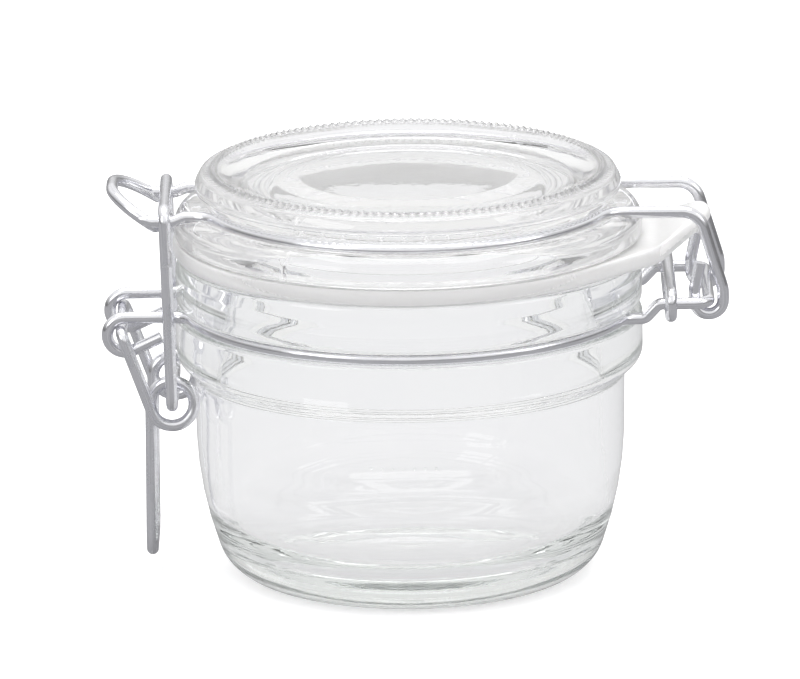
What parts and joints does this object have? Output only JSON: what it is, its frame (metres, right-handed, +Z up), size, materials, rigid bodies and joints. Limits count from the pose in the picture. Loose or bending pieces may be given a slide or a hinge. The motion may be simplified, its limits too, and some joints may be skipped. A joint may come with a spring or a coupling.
{
  "type": "clip-top preserving jar",
  "caption": "Small round glass jar with a hinged glass lid, a rubber gasket with a pull tab, and a steel wire bail that hinges and clips the lid.",
  "frame": {"origin": "where the jar's axis of revolution meets the surface that it stands on", "axes": "+Z up along the jar's axis, +X towards the hinge, -X towards the latch"},
  "size_m": [0.1098, 0.0826, 0.0731],
  "materials": {
    "glass_body": "clear pressed glass, faintly green where it is thick",
    "glass_lid": "clear pressed glass with a knurled grip ring",
    "gasket_rubber": "milky translucent rubber, satin",
    "bail_wire": "bright drawn steel wire, lightly galvanised",
    "latch_wire": "bright drawn steel wire, lightly galvanised"
  },
  "bodies": {
    "base": {"jar": "glass_body", "neck_ring": "bail_wire", "neck_clip": "bail_wire"},
    "cover": {"lid": "glass_lid", "lid_ring": "bail_wire", "gasket": "gasket_rubber"},
    "lever": {"lever": "latch_wire"},
    "link": {"link": "latch_wire"}
  },
  "joints": [
    {"name": "lid_hinge", "type": "hinge", "parent": "base", "child": "cover", "pos_m": [0.0523, 0, 0.0507], "axis": [0, 1, 0], "range_deg": [0, 110]},
    {"name": "lever_pivot", "type": "hinge", "parent": "base", "child": "lever", "pos_m": [-0.05034, 0, 0.04571], "axis": [0, 1, 0], "range_deg": [0, 135]},
    {"name": "link_pivot", "type": "hinge", "parent": "lever", "child": "link", "pos_m": [-0.04161, 0, 0.03277], "axis": [0, 1, 0], "range_deg": [-300, 0]}
  ],
  "couplings": [
    {"joint": "link_pivot", "follows": "lever_pivot", "ratio": -2.2}
  ]
}
